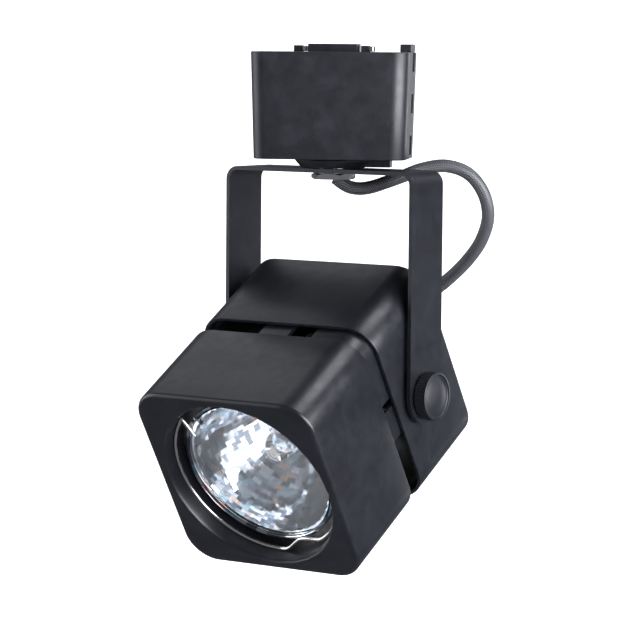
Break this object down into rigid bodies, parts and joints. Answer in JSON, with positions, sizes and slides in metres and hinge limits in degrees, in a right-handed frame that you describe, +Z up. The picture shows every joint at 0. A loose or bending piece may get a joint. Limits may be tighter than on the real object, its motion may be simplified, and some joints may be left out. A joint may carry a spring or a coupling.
{
  "type": "track spotlight",
  "caption": "Black track spotlight: plug-in track adapter with turn lock, swivelling steel yoke and a tilting square two-shell head with a reflector lamp and a looped braided cord.",
  "frame": {"origin": "on the swivel axis, in the plane of the adapter top that seats against the track", "axes": "+Z up into the track, X along the track, -Y the side the head points to"},
  "size_m": [0.1014, 0.1064, 0.1564],
  "materials": {
    "black_paint": "satin black powder coat on sheet steel",
    "black_plastic": "satin moulded polycarbonate, faintly textured",
    "nickel": "bright nickel plate",
    "zinc_steel": "zinc plated steel",
    "brass": "spring brass",
    "ceramic": "unglazed white ceramic",
    "clear_glass": "clear glass",
    "mirror_glass": "aluminised facets on pressed glass",
    "nylon": "natural nylon",
    "braid": "woven black polyester braid",
    "red_wire": "silicone insulation",
    "blue_wire": "silicone insulation"
  },
  "bodies": {
    "adapter": {"adapter_front_shell": "black_plastic", "adapter_back_shell": "black_plastic", "snap_comb_right": "black_plastic", "snap_comb_left": "black_plastic", "polarity_key": "black_plastic", "swivel_bush": "nylon", "earth_leaf": "brass"},
    "lock": {"lock_collar": "black_plastic", "contact_turret": "black_plastic", "live_contact": "nickel", "neutral_contact": "nickel"},
    "yoke": {"yoke": "black_paint", "swivel_nipple": "zinc_steel", "cord_bush": "black_plastic", "nipple_nut": "nickel", "retaining_ring": "zinc_steel", "pivot_washer_right": "nylon", "pivot_washer_left": "nylon", "cord": "braid"},
    "head": {"front_shell": "black_paint", "rear_shell": "black_paint", "inner_bracket": "black_paint", "corner_liner_upper": "black_paint", "corner_liner_lower": "black_paint", "bracket_spacer_1": "zinc_steel", "bracket_spacer_2": "zinc_steel", "bracket_screw_1": "zinc_steel", "bracket_screw_2": "zinc_steel", "lamp_seat_ring": "zinc_steel", "lamp_reflector": "mirror_glass", "lamp_front_glass": "clear_glass", "lamp_capsule": "clear_glass", "lamp_base": "ceramic", "lampholder": "ceramic", "lamp_pin_1": "nickel", "lamp_pin_2": "nickel", "lamp_clip": "nickel", "cord_gland": "black_plastic", "gland_nut": "zinc_steel", "live_lead": "red_wire", "neutral_lead": "blue_wire", "pivot_nut_right": "zinc_steel", "pivot_nut_left": "zinc_steel"},
    "right_knob": {"knob_right": "black_plastic", "knob_stud_right": "zinc_steel"},
    "left_knob": {"knob_left": "black_plastic", "knob_stud_left": "zinc_steel"}
  },
  "joints": [
    {"name": "lock_turn", "type": "hinge", "parent": "adapter", "child": "lock", "pos_m": [0, 0, -0.0325], "axis": [0, 0, 1], "range_deg": [0, 90]},
    {"name": "swivel", "type": "hinge", "parent": "adapter", "child": "yoke", "pos_m": [0, 0, -0.0352], "axis": [0, 0, 1], "range_deg": [-160, 160]},
    {"name": "tilt", "type": "hinge", "parent": "yoke", "child": "head", "pos_m": [0, 0, -0.1022], "axis": [0.891, -0.454, 0], "range_deg": [-31, 59], "deforming": ["cord"]},
    {"name": "right_knob_turn", "type": "hinge", "parent": "yoke", "child": "right_knob", "pos_m": [0, 0, -0.1022], "axis": [0.891, -0.454, 0], "range_deg": [0, 270]},
    {"name": "left_knob_turn", "type": "hinge", "parent": "yoke", "child": "left_knob", "pos_m": [0, 0, -0.1022], "axis": [-0.891, 0.454, 0], "range_deg": [0, 270]}
  ]
}
